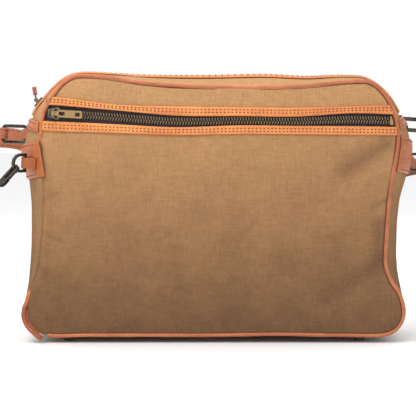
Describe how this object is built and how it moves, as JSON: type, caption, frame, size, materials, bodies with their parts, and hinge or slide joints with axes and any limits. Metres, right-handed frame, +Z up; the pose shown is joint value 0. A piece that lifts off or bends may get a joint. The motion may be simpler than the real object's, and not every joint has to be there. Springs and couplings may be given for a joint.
{
  "type": "crossbody bag",
  "caption": "Soft canvas crossbody bag with leather piping, a zipped front pocket, a top zip and a leather shoulder strap on rings.",
  "frame": {"origin": "on the floor, under the middle of the whole with its strap", "axes": "+X to the right as one faces the zipped front pocket, -Y out of that front, +Z up"},
  "size_m": [0.547, 0.2024, 0.2685],
  "materials": {
    "canvas": "heavy twill canvas, faded and stained",
    "leather": "vegetable tanned, worn at the edges",
    "strap_leather": "darker stitched strap leather",
    "zip_tape": "dark woven tape",
    "brass": "aged brass",
    "dark_metal": "antique dark plated metal"
  },
  "bodies": {
    "bag": {"front_piping": "leather", "back_piping": "leather", "front_panel_upper": "canvas", "front_panel_lower": "canvas", "back_panel": "canvas", "pocket_welt_upper": "leather", "pocket_welt_lower": "leather", "pocket_zip_tape": "zip_tape", "pocket_zip_chain": "brass", "pocket_zip_end_stop": "brass", "pocket_slider": "brass", "side_band": "canvas", "top_welt_front": "leather", "top_welt_back": "leather", "top_zip_tape": "zip_tape", "top_zip_chain": "brass", "top_slider": "brass", "crosspiece_left": "leather", "crosspiece_right": "leather", "side_patch_left": "leather", "side_patch_right": "leather", "strap_anchor_left": "strap_leather", "strap_anchor_right": "strap_leather", "strap_ring_left": "dark_metal", "strap_ring_right": "dark_metal", "shoulder_strap": "strap_leather", "d_ring_keeper_left": "leather", "d_ring_keeper_right": "leather", "d_ring_left": "dark_metal", "d_ring_right": "dark_metal", "snap_hook": "dark_metal", "foot_front_left": "brass", "foot_back_left": "brass", "foot_front_right": "brass", "foot_back_right": "brass"},
    "pocket_pull": {"pocket_pull": "brass"},
    "top_pull": {"top_pull": "dark_metal", "top_pull_tab": "strap_leather"},
    "hook_gate": {"snap_hook_gate": "dark_metal"}
  },
  "joints": [
    {"name": "pocket_pull_hinge", "type": "hinge", "parent": "bag", "child": "pocket_pull", "pos_m": [-0.15654, -0.09532, 0.22603], "axis": [-0.0624, 0, -0.9981], "range_deg": [0, 150]},
    {"name": "top_pull_hinge", "type": "hinge", "parent": "bag", "child": "top_pull", "pos_m": [-0.18051, -0.03867, 0.24075], "axis": [-0.0367, 0.999, 0.0272], "range_deg": [-90, 42]},
    {"name": "hook_gate_hinge", "type": "hinge", "parent": "bag", "child": "hook_gate", "pos_m": [-0.19978, -0.09557, 0.16286], "axis": [-0.4364, -0.5502, 0.7119], "range_deg": [0, 20], "stiffness_Nm_per_rad": 0.004, "springref_deg": -2.86}
  ]
}
